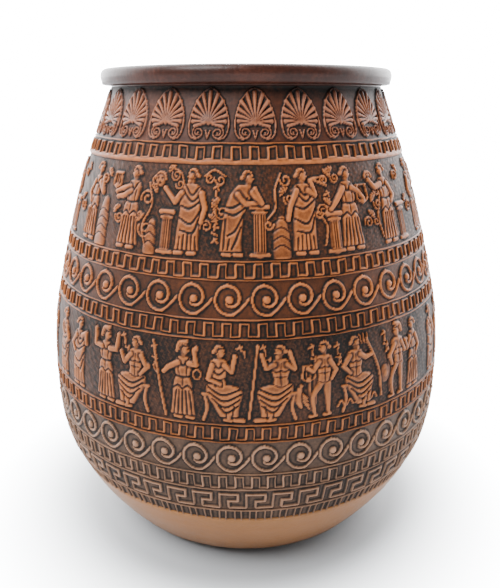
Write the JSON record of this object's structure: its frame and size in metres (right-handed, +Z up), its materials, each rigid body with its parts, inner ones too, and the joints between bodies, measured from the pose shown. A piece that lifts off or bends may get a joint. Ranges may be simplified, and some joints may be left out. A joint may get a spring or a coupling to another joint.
{
  "type": "egg-shaped terracotta jar with greek-style relief bands",
  "caption": "Wide-mouthed, handle-less terracotta jar covered in moulded relief: palmettes, key patterns, running scrolls and two friezes of draped figures, with dark wash in the recesses.",
  "frame": {"origin": "bottom centre of the foot, on the axis of the jar", "axes": "+Z up along the axis, -Y towards the front that the picture shows, +X to the right of it"},
  "size_m": [0.268, 0.268, 0.3],
  "materials": {
    "terracotta": "satin"
  },
  "bodies": {
    "root": {"krater": "terracotta"}
  },
  "joints": []
}
